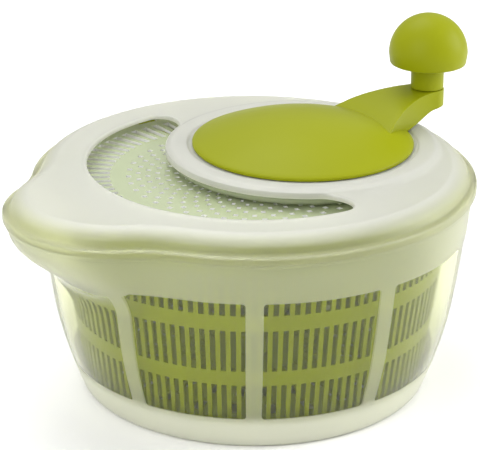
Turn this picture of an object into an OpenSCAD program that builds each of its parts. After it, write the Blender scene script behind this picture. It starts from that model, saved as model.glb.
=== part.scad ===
// Crank salad spinner: a bowl with a pouring spout, a slotted basket, and a
// lid that carries an eccentric crank disc geared 4 to 1 to the basket.
// The origin is the centre of the bowl's base. +Z is up, -X is the spout,
// and the crank's axis lies on +X.

/* [Bowl] */
// Height of the bowl's rim, where the lid rests
bowl_h = 124.5; // [115:0.5:135]
// Radius of the bowl's straight wall carried down to the base
bowl_foot_r = 110.9; // [106:0.1:114]
// Radius of the bowl's wall at the rim
bowl_top_r = 130.3; // [128:0.1:131]
// How far the wall swells at mid height
bowl_belly = 2; // [0:0.5:4]
// How far the base corner is drawn in
bowl_corner = 6.3; // [4:0.1:12]
// Wall thickness of the bowl
bowl_wall = 2.2; // [1.8:0.1:2.6]
// Radius of the pivot pin in the middle of the bowl
pivot_r = 4; // [3:0.5:5]

/* [Spout] */
// Distance from the axis to the tip of the spout
spout_reach = 162.5; // [156:0.5:168]
// Radius of the spout's round nose
nose_r = 68; // [62:1:74]
// Radius of the hollow curve between nose and rim
nose_fillet_r = 72; // [64:2:80]
// Depth of the straight band under the spout's edge
spout_band = 5; // [4:0.5:8]
// Height over which the spout runs back into the wall
spout_run = 40; // [32:1:44]

/* [Basket] */
// Outer radius of the basket just above its floor
basket_foot_r = 104.5; // [100:0.5:105]
// Outer radius of the basket at its rim
basket_top_r = 120; // [118:0.5:120.5]
// Height of the basket's underside above the base
basket_z = 12; // [10:0.5:14]
// Wall thickness of the basket
basket_wall = 1.8; // [1.4:0.1:2.2]
// Number of slots in each row
slots_per_row = 60; // [40:4:72]
// Width of a slot
slot_w = 3.2; // [2:0.1:3.6]

/* [Lid] */
// Radius of the lid's flange
rim_r = 132.5; // [131:0.5:134]
// Height of the lid's flat top
deck_z = 138.4; // [137:0.2:140]
// Wall thickness of the lid
lid_wall = 2.2; // [1.8:0.1:2.6]
// Outer radius of the crescent opening
crescent_r = 99.5; // [96:0.5:102]
// Radius about the crank's axis where the crescent opening begins
collar_r = 84; // [83:0.5:86]

/* [Crank and gears] */
// Distance of the crank's axis from the bowl's axis
crank_x = 36.5; // [36:0.5:37]
// Angle of the arm at rest, from the line through spout and crank
crank_rest = -5; // [-180:1:180]
// Radius of the crank disc
disc_r = 66.9; // [66:0.1:67.2]
// Height of the middle of the crank disc's dome
dome_z = 157.2; // [156:0.2:158]
// Distance from the crank's axis to the knob's axis
arm_l = 91; // [88:0.5:92]
// Teeth of the ring gear, a multiple of 4
ring_teeth = 64; // [64:16:64]
// Teeth of the pinion
pinion_teeth = 16; // [16:16:16]

/* [Knob] */
// Radius of the knob's dome
knob_r = 24.3; // [22:0.1:26]
// Radius of the knob's stem
stem_r = 10.2; // [9:0.1:11]
// Height of the knob's top
knob_z = 208.2; // [200:0.1:212]

/* [Hidden] */

$fn = 96;
fit = 0.06;           // radial running clearance of a shaft in its hole
eps = 0.01;
lime = [0.66, 0.71, 0.10];
frost = [0.88, 0.90, 0.86, 0.6];
clear_lime = [0.72, 0.80, 0.45, 0.8];
steel = [0.75, 0.76, 0.78];

// Spout outline. The nose, the hollow fillets and the round rim are arcs that
// meet tangentially; tear(a, inset) is the outline's radius at angle a from
// the spout's own direction.
nose_x = spout_reach - nose_r;
fillet_d = rim_r + nose_fillet_r;
fillet_a = acos((fillet_d * fillet_d + nose_x * nose_x
                 - pow(nose_r + nose_fillet_r, 2)) / (2 * fillet_d * nose_x));
fillet_c = fillet_d * [cos(fillet_a), sin(fillet_a)];
touch = [nose_x, 0] + (fillet_c - [nose_x, 0]) * nose_r / (nose_r + nose_fillet_r);
touch_a = atan2(touch[1], touch[0]);
function far_hit(c, r, a) = c * cos(a) + sqrt(r * r - pow(c * sin(a), 2));
function near_hit(c, r, a) = c * cos(a) - sqrt(r * r - pow(c * sin(a), 2));
function tear(a, inset) =
    abs(a) < touch_a ? far_hit(nose_x, nose_r - inset, a)
    : abs(a) < fillet_a
      ? near_hit(fillet_d, nose_fillet_r + inset, fillet_a - abs(a))
    : rim_r - inset;
function spout_r(a, base, inset, k) = base + k * (tear(a, inset) - rim_r + inset);
spout_step = 2;       // degrees between points of the spout's outline
spout_rows = 8;       // slices in the spout's run
spout_sink = 0.7;     // how deep the spout's ends lie in the round wall

// Bowl
corner_h = 58;         // height over which the wall draws in towards the base
corner_pow = 1.63;
groove_depth = 0.8;    // shallow groove that leaves a foot ring round the base
groove_r = [83, 90];
floor_z = 3.6;
pivot_z = 22;
bead_h = 3;
bead_r = rim_r - 1.2;
function bowl_r(z) = bowl_foot_r + (bowl_top_r - bowl_foot_r) * z / bowl_h
    + 4 * bowl_belly * z / bowl_h * (1 - z / bowl_h)
    - bowl_corner * pow(max(0, 1 - z / corner_h), corner_pow);
bowl_zs = concat([for (z = [0 : 4 : corner_h]) z], [for (z = [65 : 15 : 110]) z], [bowl_h]);

// Basket
basket_floor = 1.8;
basket_rim_z = 130;
plate_z = 126.8;      // underside of the drive plate
plate_t = 2;
plate_r = 116.8;
ledge_r = 112;
row_h = 26.4;         // height of a slot
row_pitch = 36.2;     // from one row of slots to the next
row_z = 14.6;         // bottom of the lowest row
dogs = 8;
dog_w = 5;
function basket_r(z) = basket_foot_r + (basket_top_r - basket_foot_r)
    * (z - basket_z) / (plate_z - basket_z);

// Lid's outer line, from the flange's foot up to the flat top
flange_t = 4.5;
lid_line = [[rim_r, bowl_h], [rim_r, bowl_h + 3], [rim_r - 1, bowl_h + flange_t],
            [rim_r - 4.2, bowl_h + 5.1], [rim_r - 5.2, bowl_h + 8],
            [rim_r - 6.8, bowl_h + 10.6], [rim_r - 10, bowl_h + 12.8],
            [rim_r - 15, deck_z]];
lid_skirt_h = 5.5;
lid_skirt_r = bowl_top_r - bowl_wall - 1.4;
lid_skirt_t = 1.9;
shelf_r = 61.5;
shelf_z = 140;        // collar's shelf, under the disc's edge
collar_z = 141.3;     // top of the collar's ring, round the disc
tip_x = 2;            // where the crescent's ends stop
tip_round = 9;

// Gear case
pan_z = 130.6;        // underside of the housing
pan_t = 1.8;
pan_r = 81;
case_top = 138.4;     // where the housing meets the lid's collar
post_r = 12;
post_top = 145.5;
washer_z = 136;       // top of the crank's washer, at the hub's end
hub_r = 7;
washer_r = 9;
boss_rho = 74;        // housing screws, about the crank's axis
case_screws = 4;
boss_top = 133;       // where the housing's screw bosses meet the lid's
bush_seat = 133.2;    // top of the boss that holds the pinion's bush

// Gears: the centre distance sets the tooth module
gear_m = 2 * crank_x / (ring_teeth - pinion_teeth);
ring_pr = gear_m * ring_teeth / 2;
pinion_pr = gear_m * pinion_teeth / 2;
tooth_h = 0.8 * gear_m;
tooth_gap = 0.35;     // radial room at the root
backlash = 0.22;
gear_z0 = 134.8;
gear_z1 = 142.3;
ring_or = 54.2;
ring_flange_r = 60;
ring_boss_rho = 57.6;
ring_screw_count = 4;
ring_grip = 1.9;      // how far the ring's screws go into the disc's bosses
shaft_r = 3;
bush_r = 5;

// Crank disc and arm
disc_z0 = 140.5;
disc_edge = 2;
disc_wall = 2.2;
dome_rise = dome_z - disc_z0 - disc_edge;
arm_top = 161;
arm_bottom = 149.8;
arm_end_r = 10.6;
arm_root = 42;
arm_root_w = 31;
arm_top_line = [[42, 148], [46, 149.7], [52, 152.3], [60, 155], [70, 157.5],
                [78, 159.1], [86, 160.4], [92, arm_top]];
arm_low_line = [[66.3, 141.3], [71, 142.3], [76.5, 143.8], [80.5, 145.5],
                [84.3, 147.3], [87, 148.5], [90, 149.3], [95, arm_bottom]];
function dome(rho, drop) = dome_z - drop - dome_rise * pow(rho / disc_r, 2);

// Knob
knob_base = 177;
knob_wall = 2;
sleeve_bore = 3.1;
pin_r = sleeve_bore - fit;
knob_x = crank_x + arm_l * cos(crank_rest);
knob_y = arm_l * sin(crank_rest);

// Screws
screw_r = 1.5;
head_r = 3;

// Moves children to the crank's axis, turned to its rest angle
module at_crank() { translate([crank_x, 0, 0]) rotate(crank_rest) children(); }

// Moves children to the knob's axis
module at_knob() { translate([knob_x, knob_y, 0]) children(); }

// A tube of outer radius r, bore b, from z0 to z1
module tube(r, b, z0, z1) {
    translate([0, 0, z0]) difference() {
        cylinder(r = r, h = z1 - z0);
        translate([0, 0, -1]) cylinder(r = b, h = z1 - z0 + 2);
    }
}

// A disc of radius r from z0 to z1
module slab(r, z0, z1) { translate([0, 0, z0]) cylinder(r = r, h = z1 - z0); }

// n copies round the axis, the first at angle a
module around(n, a = 0) { for (i = [0 : n - 1]) rotate(a + i * 360 / n) children(); }

// A slice of the spout, from z0 to z1, that adds part k of its reach to a wall
// of radius base. Its ends are sunk into that wall.
module spout_slice(z0, z1, base, inset, k) {
    edge = fillet_a + spout_step;
    translate([0, 0, z0]) linear_extrude(z1 - z0) polygon(concat(
        [[-rim_r * 0.7, 0]],
        [for (a = [-edge : spout_step : edge])
            (spout_r(a, base, inset, k) - (abs(a) > fillet_a - 1 ? spout_sink : 0))
            * [-cos(a), -sin(a)]]));
}

// Screw with a pan head below and a plain shank; z is the head's underside
module screw_up(z, head_h, shank_h) {
    slab(head_r, z, z + head_h);
    slab(screw_r, z + head_h - eps, z + head_h + shank_h);
}

// Gear outline with straight flanks; out = 1 for a pinion, -1 for the room
// inside a ring gear
module gear_outline(teeth, pr, play) {
    p = 360 / teeth;
    tip = pr + tooth_h;
    root = pr - tooth_h - tooth_gap;
    half_tip = p * 0.13 - play;
    half_root = p * 0.36 - play;
    polygon([for (i = [0 : teeth - 1], s = [[root, -half_root], [tip, -half_tip],
                                           [tip, half_tip], [root, half_root]])
        s[0] * [cos(i * p + s[1]), sin(i * p + s[1])]]);
}

// Round of the bowl: outer or inner solid, by offset of its wall
module bowl_form(wall, z0) {
    rotate_extrude() polygon(concat([[0, z0]],
        [for (z = bowl_zs) [bowl_r(z) - wall, max(z, z0)]], [[0, bowl_h]]));
}

// The spout's outer or inner solid: a straight band, then a run that eases
// back into the wall
module spout_form(wall, z0) {
    band_z = bowl_h - spout_band;
    inset = rim_r - bead_r + wall;
    spout_slice(band_z + z0, bowl_h, bead_r - wall, inset, 1);
    for (i = [0 : spout_rows - 2]) {
        top = band_z - spout_run * i / spout_rows + z0;
        low = top - spout_run / spout_rows;
        spout_slice(low, top + eps, bowl_r(low) - wall, inset,
                    (1 + cos(180 * (i + 0.5) / spout_rows)) / 2);
    }
}

module bowl() color(frost) {
    difference() {
        union() {
            bowl_form(0, 0);
            tube(bead_r, bowl_top_r - 4, bowl_h - bead_h, bowl_h);
            spout_form(0, 0);
        }
        bowl_form(bowl_wall, floor_z);
        spout_form(bowl_wall, bowl_wall);
        slab(bowl_top_r - bowl_wall - 0.3, bowl_h - eps, bowl_h + 5);
        tube(groove_r[1], groove_r[0], -1, groove_depth);
    }
    translate([0, 0, floor_z - 0.5]) cylinder(r1 = 12, r2 = 6, h = 6);
    slab(pivot_r, floor_z, pivot_z);
}

module basket_shell() {
    rotate_extrude() polygon([
        [0, basket_z], [basket_r(basket_z) - 5, basket_z],
        [basket_r(basket_z + 5), basket_z + 5],
        [basket_r(plate_z), plate_z], [basket_top_r + 2, plate_z + 1],
        [basket_top_r + 2, basket_rim_z],
        [basket_top_r - basket_wall, basket_rim_z],
        [basket_top_r - basket_wall, plate_z], [ledge_r, plate_z],
        [ledge_r, plate_z - basket_wall],
        [basket_r(plate_z - 6) - basket_wall, plate_z - 6],
        [basket_r(basket_z + 5) - basket_wall, basket_z + 5],
        [basket_r(basket_z) - 6, basket_z + basket_floor],
        [0, basket_z + basket_floor]]);
}

module basket() color(lime) {
    difference() {
        union() {
            basket_shell();
            slab(9, basket_z, pivot_z + 3);
        }
        slab(pivot_r + fit, basket_z - 1, pivot_z + 0.2);
        for (row = [0 : 2]) translate([0, 0, row_z + 5 + row * row_pitch])
            around(slots_per_row / 2, 180 / slots_per_row)
                translate([-rim_r, -slot_w / 2, 0]) cube([2 * rim_r, slot_w, row_h - 5]);
        for (rho = [30, 52, 74]) around(12, rho)
            translate([rho, -slot_w / 2, basket_z - 1])
                cube([14, slot_w, basket_floor + 2]);
    }
    around(dogs) translate([plate_r - 2, -dog_w / 2, plate_z - 0.5])
        cube([basket_top_r - basket_wall - plate_r + 2.5, dog_w, 3]);
}

// The lid's solid form, one wall smaller for the room inside it
module lid_form(wall, drop) {
    n = len(lid_line) - 1;
    low = bowl_h - drop;
    rotate_extrude() polygon(concat([[0, low]],
        [for (p = lid_line) [p[0] - wall, max(low, p[1] - drop)]],
        [[0, deck_z - drop]]));
    for (i = [0 : n - 1])
        if (lid_line[i + 1][1] > lid_line[i][1])
            let (base = lid_line[i + 1][0] - wall)
            spout_slice(i == 0 ? low : lid_line[i][1] - drop,
                        lid_line[i + 1][1] - drop, base, rim_r - base, 1);
}

// The crescent: from under the collar's edge out to crescent_r, with blunt ends
module crescent() {
    x0 = tip_x - tip_round;
    r_in = collar_r - 1;
    y_out = sqrt(crescent_r * crescent_r - x0 * x0);
    y_in = sqrt(r_in * r_in - pow(crank_x - x0, 2));
    y_mid = (y_out + y_in) / 2;
    y_half = (y_out - y_in) / 2;
    a_out = atan2(y_out, x0);
    a_in = atan2(y_in, x0 - crank_x);
    polygon(concat(
        [for (a = [a_out : (360 - 2 * a_out) / 48 : 360 - a_out + eps])
            crescent_r * [cos(a), sin(a)]],
        [for (t = [-75 : 15 : 75])
            [x0 + tip_round * cos(t), -y_mid + y_half * sin(t)]],
        [for (a = [360 - a_in : -(360 - 2 * a_in) / 36 : a_in - eps])
            [crank_x, 0] + r_in * [cos(a), sin(a)]],
        [for (t = [-75 : 15 : 75])
            [x0 + tip_round * cos(t), y_mid + y_half * sin(t)]]));
}

module lid() color(frost) {
    difference() {
        lid_form(0, 0);
        lid_form(lid_wall, lid_wall);
        translate([0, 0, deck_z - 20]) linear_extrude(40) crescent();
        translate([crank_x, 0, 0]) slab(pan_r + 0.4, pan_z - 5, deck_z + 5);
    }
    translate([crank_x, 0, 0]) {
        rotate_extrude() polygon([
            [shelf_r, case_top], [shelf_r, shelf_z], [disc_r + 2.3, shelf_z],
            [disc_r + 3.1, collar_z], [collar_r - 4.5, collar_z],
            [collar_r - 1, collar_z - 1.2], [collar_r, deck_z],
            [collar_r, deck_z - lid_wall], [pan_r + 0.3, deck_z - lid_wall],
            [pan_r + 0.3, case_top]]);
        around(case_screws, 45) translate([boss_rho, 0, 0])
            tube(4.2, screw_r, boss_top, case_top + 0.5);
    }
    difference() {
        union() {
            tube(lid_skirt_r, lid_skirt_r - lid_skirt_t, bowl_h - lid_skirt_h, bowl_h + 1);
            tube(rim_r - 1, lid_skirt_r - lid_skirt_t, bowl_h, bowl_h + lid_wall);
        }
        spout_slice(bowl_h - lid_skirt_h - 1, bowl_h + lid_wall + 1,
                    rim_r - lid_wall - spout_sink, lid_wall + spout_sink, 1);
    }
}

module gear_housing() color(clear_lime) translate([crank_x, 0, 0]) {
    difference() {
        union() {
            slab(pan_r, pan_z, pan_z + pan_t);
            tube(pan_r, pan_r - pan_t, pan_z, case_top);
            slab(post_r, pan_z, post_top);
            translate([-crank_x, 0, 0]) slab(bush_r + 3, pan_z, bush_seat);
            around(case_screws, 45) translate([boss_rho, 0, 0]) slab(5, pan_z, boss_top);
        }
        slab(hub_r + fit, pan_z - 1, post_top + 1);
        slab(washer_r + 0.5, pan_z - 1, washer_z + 0.2);
        translate([-crank_x, 0, 0]) slab(bush_r, pan_z - 1, 140);
        around(case_screws, 45) translate([boss_rho, 0, 0]) {
            slab(screw_r + 0.2, pan_z - 1, 140);
            slab(head_r + 0.4, pan_z - 1, 132.3);
        }
    }
}

module housing_screws() color(steel) translate([crank_x, 0, 0])
    around(case_screws, 45) translate([boss_rho, 0, 0]) screw_up(130.7, 1.6, 6);

module pinion_bush() color("goldenrod") difference() {
    union() {
        slab(bush_r, pan_z, bush_seat);
        slab(bush_r + 2, bush_seat, bush_seat + 0.8);
    }
    slab(shaft_r + fit, pan_z - 1, 140);
}

// Plan of the arm: a fan that narrows from the dome to a round end
module arm_plan() {
    waist = [for (t = [0 : 0.1 : 1])
        [arm_root + t * (arm_l - arm_root),
         arm_end_r + (arm_root_w - arm_end_r) * pow(1 - t, 1.8)]];
    polygon(concat([for (p = waist) [p[0], -p[1]]],
        [for (a = [-75 : 15 : 75])
            [arm_l + arm_end_r * cos(a), arm_end_r * sin(a)]],
        [for (i = [len(waist) - 1 : -1 : 0]) [waist[i][0], waist[i][1]]]));
}

// Side view of the arm: the top line climbs from the dome, and the underside
// leaves the disc's edge and flattens out under the knob
module arm_side() {
    end_x = arm_l + arm_end_r + 1;
    polygon(concat([[arm_root, arm_top_line[0][1] - 2], [disc_r - 3, disc_z0 + 2]],
        arm_low_line, [[end_x, arm_bottom], [end_x, arm_top]],
        [for (i = [len(arm_top_line) - 1 : -1 : 0]) arm_top_line[i]]));
}

module crank_disc() color(lime) at_crank() {
    difference() {
        rotate_extrude() polygon(concat(
            [[0, disc_z0], [disc_r - 0.4, disc_z0], [disc_r, disc_z0 + 0.4],
             [disc_r, disc_z0 + disc_edge - 0.4]],
            [for (i = [20 : -1 : 0])
                let (rho = (disc_r - 0.4) * i / 20) [rho, dome(rho, 0)]]));
        rotate_extrude() polygon(concat(
            [[0, disc_z0 - 1], [disc_r - disc_wall, disc_z0 - 1]],
            [for (i = [12 : -1 : 0])
                let (rho = (disc_r - disc_wall) * i / 12)
                [rho, dome(rho, disc_wall)]]));
        ring_pilots();
    }
    difference() {
        intersection() {
            linear_extrude(arm_top + 5) arm_plan();
            rotate([90, 0, 0]) translate([0, 0, -40]) linear_extrude(80) arm_side();
        }
        translate([arm_l, 0, 0]) slab(pin_r, arm_bottom + 3, arm_top + 5);
    }
    difference() {
        union() {
            slab(hub_r, washer_z, dome_z - 1);
            slab(hub_r + 3.5, post_top + 0.2, post_top + 5);
        }
        slab(screw_r, pan_z, washer_z + 13);
    }
    difference() {
        around(ring_screw_count, 45) translate([ring_boss_rho, 0, 0])
            slab(3.4, gear_z1, dome(ring_boss_rho + 3.4, disc_wall / 2));
        ring_pilots();
    }
}

// Pilot holes for the ring's screws
module ring_pilots() {
    around(ring_screw_count, 45) translate([ring_boss_rho, 0, 0])
        slab(screw_r, gear_z1 - 1, gear_z1 + ring_grip);
}

module ring_gear() color("gainsboro") at_crank() difference() {
    union() {
        slab(ring_or, gear_z0, gear_z1);
        slab(ring_flange_r, gear_z1 - 2.4, gear_z1);
    }
    translate([0, 0, gear_z0 - 1]) linear_extrude(gear_z1 - gear_z0 + 2)
        rotate(-crank_rest + 180 / ring_teeth * (ring_teeth % 2)) ring_room();
    around(ring_screw_count, 45) translate([ring_boss_rho, 0, 0])
        slab(screw_r + 0.2, gear_z0 - 1, gear_z1 + 1);
}

// Room inside the ring gear: its gaps face the pinion's teeth
module ring_room() {
    p = 360 / ring_teeth;
    tip = ring_pr - tooth_h;
    root = ring_pr + tooth_h + tooth_gap;
    play = 180 * backlash / PI / ring_pr;
    half_in = p * 0.37 + play;
    half_out = p * 0.14 + play;
    polygon([for (i = [0 : ring_teeth - 1], s = [[tip, -half_in], [root, -half_out],
                                                [root, half_out], [tip, half_in]])
        s[0] * [cos(i * p + s[1]), sin(i * p + s[1])]]);
}

module ring_screws() color(steel) at_crank() around(ring_screw_count, 45)
    translate([ring_boss_rho, 0, 0]) screw_up(gear_z1 - 3.9, 1.5, 2.4 + ring_grip);

module crank_washer() color(steel) at_crank()
    tube(washer_r, screw_r + 0.1, washer_z - 1.2, washer_z);

module crank_screw() color(steel) at_crank() screw_up(washer_z - 3.4, 2.2, 12);

module pinion() color("gainsboro") difference() {
    translate([0, 0, gear_z0]) linear_extrude(gear_z1 + 0.5 - gear_z0)
        gear_outline(pinion_teeth, pinion_pr, 180 * backlash / PI / pinion_pr);
    slab(shaft_r, gear_z0 - 1, gear_z1 + 2);
}

module pinion_shaft() color(steel) {
    slab(shaft_r, 119, gear_z1 + 2.5);
    slab(shaft_r - 0.6, 114.5, 119 + eps);
}

module thrust_washer() color("white")
    tube(bush_r + 1.6, shaft_r, bush_seat + 0.8, gear_z0);

module shaft_clip() color(steel) tube(5.2, shaft_r, gear_z1 + 0.5, gear_z1 + 1.3);

module drive_plate() color(clear_lime) difference() {
    union() {
        slab(plate_r, plate_z, plate_z + plate_t);
        slab(9, 119, plate_z + 0.5);
        tube(plate_r - 6, plate_r - 8, plate_z - 4, plate_z + 0.5);
    }
    slab(shaft_r, 118, 140);
    around(dogs) translate([plate_r - 2.6, -dog_w / 2 - 0.5, plate_z - 1])
        cube([10, dog_w + 1, 5]);
    around(36, 5) translate([88, -1.6, plate_z - 1]) cube([18, 3.2, 4]);
    for (rho = [26, 42, 58]) around(rho / 2 - 1, 3) translate([rho, -1.8, plate_z - 1])
        cube([10, 3.6, 4]);
}

module plate_washer() color(steel) tube(7, shaft_r - 0.6, 118, 119);

module plate_nut() color(steel) difference() {
    translate([0, 0, 115.4]) cylinder(r = 5, h = 2.6, $fn = 6);
    slab(shaft_r - 0.6, 114, 120);
}

module knob_dome() color(lime) at_knob() rotate_extrude() {
    mid = knob_z - knob_r;
    inner = knob_r - knob_wall;
    polygon(concat(
        [[stem_r - 1, knob_base], [knob_r - 4.5, knob_base],
         [knob_r - 1.6, knob_base + 1], [knob_r - 0.4, knob_base + 3]],
        [for (a = [0 : 7.5 : 90]) [knob_r * cos(a), mid + knob_r * sin(a)]],
        [for (a = [90 : -7.5 : 0]) [inner * cos(a), mid + inner * sin(a)]],
        [[knob_r - knob_wall - 0.6, knob_base + 3.4],
         [knob_r - 5, knob_base + knob_wall], [stem_r - 1, knob_base + knob_wall]]));
}

module knob_sleeve() color(lime) at_knob() difference() {
    union() {
        slab(stem_r, arm_top + 0.3, knob_base);
        slab(stem_r - 1, knob_base - eps, knob_base + knob_wall);
        slab(stem_r + 3, knob_base + knob_wall, knob_base + knob_wall + 1.6);
        slab(6, knob_base + knob_wall, 192);
    }
    slab(sleeve_bore, arm_top - 1, 195);
}

module knob_pin() color(steel) at_knob() slab(pin_r, arm_bottom + 3, 194.5);

module knob_clip() color(steel) at_knob() tube(5.6, pin_r, 192.4, 193.4);

bowl();
basket();
lid();
gear_housing();
housing_screws();
pinion_bush();
crank_disc();
ring_gear();
ring_screws();
crank_washer();
crank_screw();
knob_dome();
knob_sleeve();
knob_pin();
knob_clip();
pinion();
pinion_shaft();
thrust_washer();
shaft_clip();
drive_plate();
plate_washer();
plate_nut();
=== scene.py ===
"""Crank salad spinner: fine meshes, materials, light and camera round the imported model.

Every formula works in millimetres about the bowl's axis, with Z up, the spout on -X and
the crank's axis on +X. Meshes become metres when they are written.
"""

import logging
import math
from dataclasses import dataclass
from enum import Enum

import bpy
import numpy as np
from mathutils import Matrix, Vector


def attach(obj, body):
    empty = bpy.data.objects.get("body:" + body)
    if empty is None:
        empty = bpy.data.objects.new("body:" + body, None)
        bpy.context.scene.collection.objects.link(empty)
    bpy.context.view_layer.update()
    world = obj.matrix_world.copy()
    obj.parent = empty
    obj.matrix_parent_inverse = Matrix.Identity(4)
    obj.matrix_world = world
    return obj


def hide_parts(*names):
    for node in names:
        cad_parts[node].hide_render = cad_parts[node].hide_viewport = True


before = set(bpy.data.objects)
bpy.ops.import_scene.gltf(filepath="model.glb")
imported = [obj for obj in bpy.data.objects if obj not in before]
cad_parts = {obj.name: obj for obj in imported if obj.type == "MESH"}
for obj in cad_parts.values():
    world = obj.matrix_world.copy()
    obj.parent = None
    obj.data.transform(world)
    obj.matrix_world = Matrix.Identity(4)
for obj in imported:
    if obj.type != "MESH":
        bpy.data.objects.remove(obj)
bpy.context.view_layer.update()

LOG = logging.getLogger("spinner")
MM = 0.001
TURN = 2 * math.pi


# ---------------------------------------------------------------- surfaces


class Loop(Enum):
    """How the two ends of a profile meet."""

    RING = "ring"
    POLES = "poles"


@dataclass
class Surface:
    """A closed surface made of quads.

    Attributes:
        points: The points, in millimetres.
        quads: Four point numbers for each quad.
    """

    points: np.ndarray
    quads: np.ndarray

    def volume(self) -> float:
        """The signed volume, each quad counted as two triangles seen from the origin.

        Returns:
            Cubic millimetres, above 0 when the faces point outwards.
        """
        a, b, c, d = (self.points[self.quads[:, k]] for k in range(4))
        halves = np.einsum("ij,ij->i", a, np.cross(b, c)) + np.einsum("ij,ij->i", a, np.cross(c, d))
        return float(halves.sum() / 6)

    def outward(self) -> "Surface":
        """The same surface with its faces turned so that they point outwards."""
        return self if self.volume() > 0 else Surface(self.points, self.quads[:, ::-1])

    def moved(self, x: float, y: float, angle: float = 0.0) -> "Surface":
        """The surface turned about Z and then moved.

        Args:
            x: How far it moves along X, in millimetres.
            y: How far it moves along Y, in millimetres.
            angle: Turn about Z in radians.

        Returns:
            The moved surface, sharing the same quads.
        """
        c, s = math.cos(angle), math.sin(angle)
        turn = np.array([[c, s, 0], [-s, c, 0], [0, 0, 1]])
        return Surface(self.points @ turn + np.array([x, y, 0]), self.quads)


def polar(radius: np.ndarray, turn: np.ndarray, z: np.ndarray) -> np.ndarray:
    """Points at a radius, an angle about Z and a height, each broadcast to the others.

    Args:
        radius: Distances from the Z axis.
        turn: Angles from +X in radians.
        z: Heights.

    Returns:
        The points: x is radius times cosine, y is radius times sine.
    """
    x, y = radius * np.cos(turn), radius * np.sin(turn)
    return np.stack([x, y, np.broadcast_to(z, x.shape)], axis=-1)


def slot_columns(count: int, width: float) -> np.ndarray:
    """Angles of the two sides of each of count slots round the axis, in radians."""
    middle = np.arange(count) * (TURN / count)
    return np.stack([middle - width / 2, middle + width / 2], axis=1).reshape(-1)


def loft(points: np.ndarray, loop: Loop, ring: bool = True) -> Surface:
    """Joins neighbouring profiles of a grid of points with quads.

    Args:
        points: Grid of profiles by points along each profile, by three.
        loop: Whether a profile is a closed ring or ends at two poles.
        ring: Whether the last profile joins the first one.

    Returns:
        The surface, with its faces outwards.
    """
    n, m = points.shape[:2]
    ids = np.arange(n * m).reshape(n, m)
    right = np.roll(ids, -1, axis=0)
    if loop is Loop.RING:
        ids, right = (np.concatenate([g, g[:, :1]], axis=1) for g in (ids, right))
    quads = np.stack([ids[:, :-1], right[:, :-1], right[:, 1:], ids[:, 1:]], axis=-1)
    quads = quads if ring else quads[:-1]
    return Surface(points.reshape(-1, 3), quads.reshape(-1, 4)).outward()


def lathe(profile: list[tuple[float, float]], loop: Loop, steps: int = 144) -> Surface:
    """Turns a profile of (radius, height) pairs round the Z axis.

    Args:
        profile: Radius and height of each point.
        loop: Whether the profile is a closed ring or starts and ends on the axis.
        steps: Number of profiles round the axis.

    Returns:
        The turned surface.
    """
    shape = np.array(profile, float)
    turn = np.arange(steps)[:, None] * TURN / steps
    return loft(polar(shape[:, 0], turn, shape[:, 1]), loop)


def on_diagonals(surface: Surface, distance: float, x: float = 0.0) -> list[Surface]:
    """Four copies of a surface, at a distance from an upright axis that stands at x."""
    corners = np.radians([45, 135, 225, 315])
    return [surface.moved(x + distance * math.cos(a), distance * math.sin(a)) for a in corners]


def sheet(top: np.ndarray, under: np.ndarray, holes: np.ndarray) -> Surface:
    """A wall between two matching grids, with some cells left open.

    The top cells and the reversed under cells are kept where there is no hole, and every
    edge between a kept cell and a missing one gets a quad from the top to the under grid.

    Args:
        top: Grid of points on the outer face, columns round the axis by rows.
        under: The same grid on the inner face.
        holes: True for each open cell, columns by rows less one.

    Returns:
        One closed surface.
    """
    n, m = top.shape[:2]
    ids = np.arange(n * m).reshape(n, m)
    right = np.roll(ids, -1, axis=0)
    depth = n * m
    solid = ~holes
    cells = np.stack([ids[:, :-1], right[:, :-1], right[:, 1:], ids[:, 1:]], axis=-1)
    faces = [cells[solid], cells[solid][:, ::-1] + depth]
    rows = np.pad(solid, ((0, 0), (1, 1)))
    along = np.stack([right, ids, ids + depth, right + depth], axis=-1)
    starts, ends = rows[:, 1:] & ~rows[:, :-1], rows[:, :-1] & ~rows[:, 1:]
    faces += [along[starts], along[ends][:, [1, 0, 3, 2]]]
    before = np.roll(solid, 1, axis=0)
    across = np.stack([ids[:, :-1], ids[:, 1:], ids[:, 1:] + depth, ids[:, :-1] + depth], axis=-1)
    faces += [across[solid & ~before], across[before & ~solid][:, [1, 0, 3, 2]]]
    points = np.concatenate([top.reshape(-1, 3), under.reshape(-1, 3)])
    return Surface(points, np.concatenate(faces)).outward()


def welded(surface: Surface) -> tuple[np.ndarray, list[list[int]]]:
    """Merges points that coincide, and turns quads that lost an edge into triangles.

    Args:
        surface: The surface to merge.

    Returns:
        The points left, and the faces as lists of point numbers.
    """
    keys = np.round(surface.points * 1e4).astype(np.int64)
    _, first, inverse = np.unique(keys, axis=0, return_index=True, return_inverse=True)
    quads = inverse.reshape(-1)[surface.quads]
    same = quads == np.roll(quads, -1, axis=1)
    lost = same.sum(axis=1)
    crossed = (quads[:, 0] == quads[:, 2]) | (quads[:, 1] == quads[:, 3])
    whole = quads[(lost == 0) & ~crossed]
    thin = (lost == 1) & ~crossed
    triangles = quads[thin][~same[thin]].reshape(-1, 3)
    return surface.points[first], whole.tolist() + triangles.tolist()


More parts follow.
